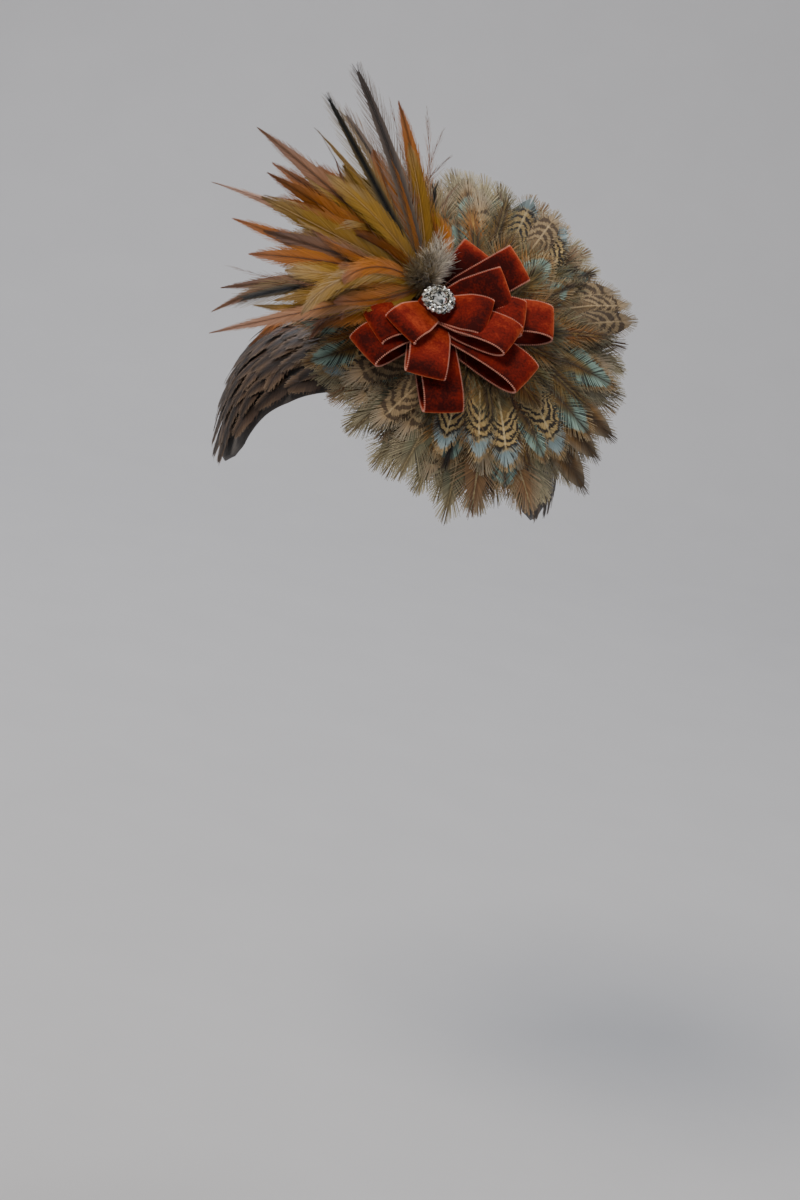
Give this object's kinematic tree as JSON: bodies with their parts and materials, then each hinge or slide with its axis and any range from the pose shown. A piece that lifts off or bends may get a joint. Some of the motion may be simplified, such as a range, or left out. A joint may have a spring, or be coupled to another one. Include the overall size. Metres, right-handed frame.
{
  "type": "feather headband",
  "caption": "Wide feather-covered headband with a domed feather pad, a hackle plume, a looped velvet ribbon rosette and a rhinestone button.",
  "frame": {"origin": "head seat: the middle of the band's inner face, on the wearer's middle plane", "axes": "+Z to the top of the wearer's head, -Y the way the wearer faces, +X to the wearer's left"},
  "size_m": [0.1793, 0.1358, 0.1785],
  "materials": {
    "band_cloth": "matte dark woven cloth over a stiff base",
    "band_feather": "soft satin of small dark brown-grey feathers",
    "pad_feather": "barred olive, buff and blue-grey feathers with open fringed tips",
    "hackle": "silky ginger and golden hackles with dark centres",
    "velvet_ribbon": "rust velvet pile with a paler looped edge",
    "silver_metal": "bright silvery setting with small stones",
    "clear_stone": "clear faceted stone"
  },
  "bodies": {
    "root": {"band": "band_cloth", "band_feathers": "band_feather", "pad_feathers": "pad_feather", "hackle_plume": "hackle", "ribbon_rosette": "velvet_ribbon", "button_cup": "silver_metal", "button_stone": "clear_stone"}
  },
  "joints": []
}
